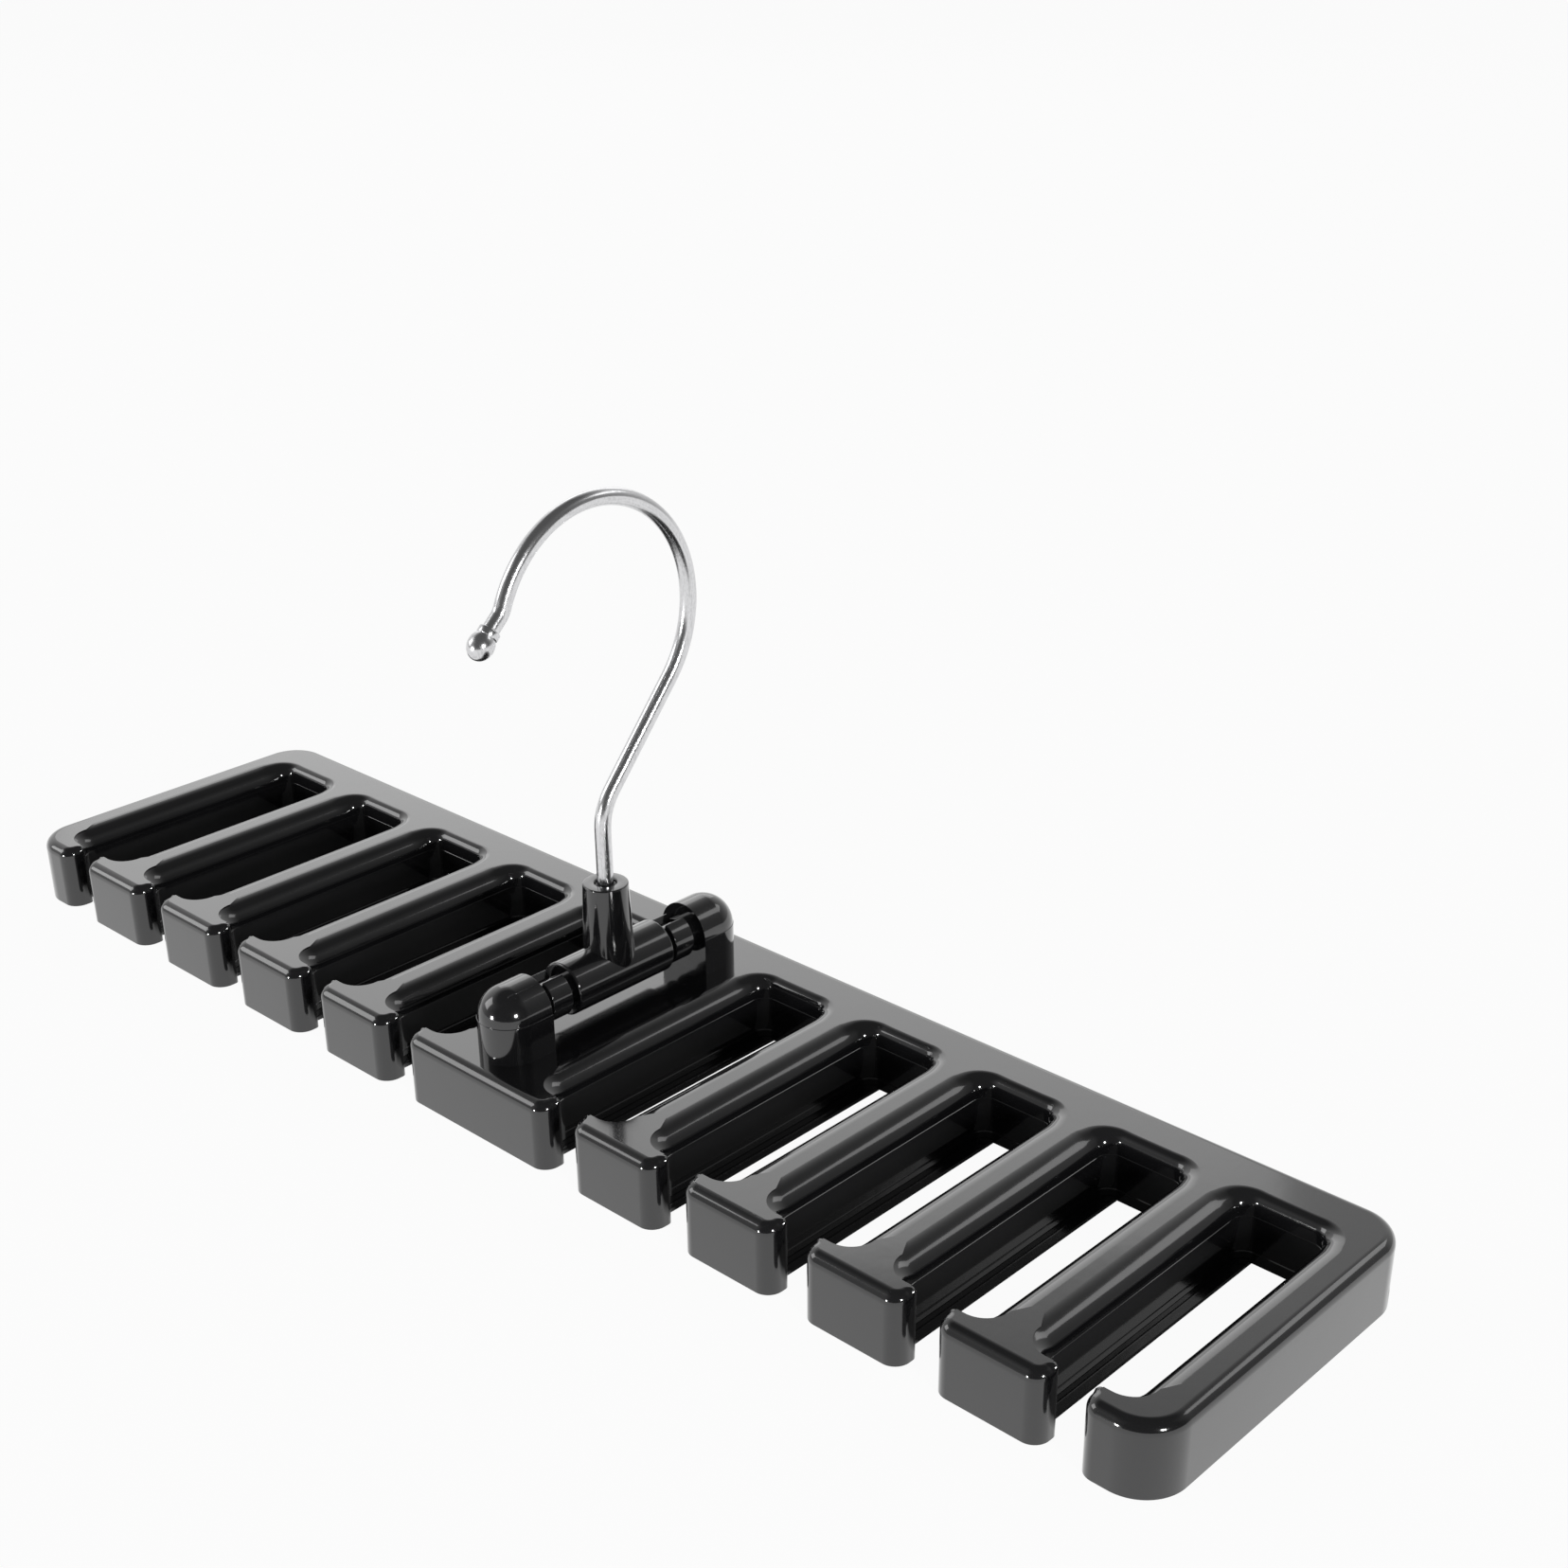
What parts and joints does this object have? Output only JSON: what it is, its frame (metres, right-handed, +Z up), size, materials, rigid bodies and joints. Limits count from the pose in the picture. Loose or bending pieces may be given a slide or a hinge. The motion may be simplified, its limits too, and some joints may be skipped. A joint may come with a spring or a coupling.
{
  "type": "tie hanger",
  "caption": "Comb-shaped black moulded rack with narrow-mouthed slots for ties, closed from below by a cover, hung from a bright wire hook that swivels and tilts on a hinge.",
  "frame": {"origin": "middle of the rack's underside", "axes": "+X along the rack's row of slots, -Y towards the slots' mouths, +Z up towards the hook"},
  "size_m": [0.328, 0.0782, 0.1232],
  "materials": {
    "black_plastic": "polished black moulding",
    "hook_chrome": "bright plated wire with fine drawing lines",
    "screw_steel": "zinc plated"
  },
  "bodies": {
    "rack": {"rack_shell": "black_plastic", "rack_base": "black_plastic", "front_post": "black_plastic", "rear_post": "black_plastic", "front_post_screw": "screw_steel", "rear_post_screw": "screw_steel", "front_bush": "black_plastic", "rear_bush": "black_plastic"},
    "yoke": {"yoke": "black_plastic", "swivel_washer": "screw_steel"},
    "hook": {"hook_wire": "hook_chrome", "hook_tip": "hook_chrome"}
  },
  "joints": [
    {"name": "hook_tilt", "type": "hinge", "parent": "rack", "child": "yoke", "pos_m": [0, -0.0012, 0.023], "axis": [0, 1, 0], "range_deg": [-70, 70]},
    {"name": "hook_swivel", "type": "hinge", "parent": "yoke", "child": "hook", "pos_m": [0, -0.0012, 0.04], "axis": [0, 0, 1], "continuous": true}
  ]
}
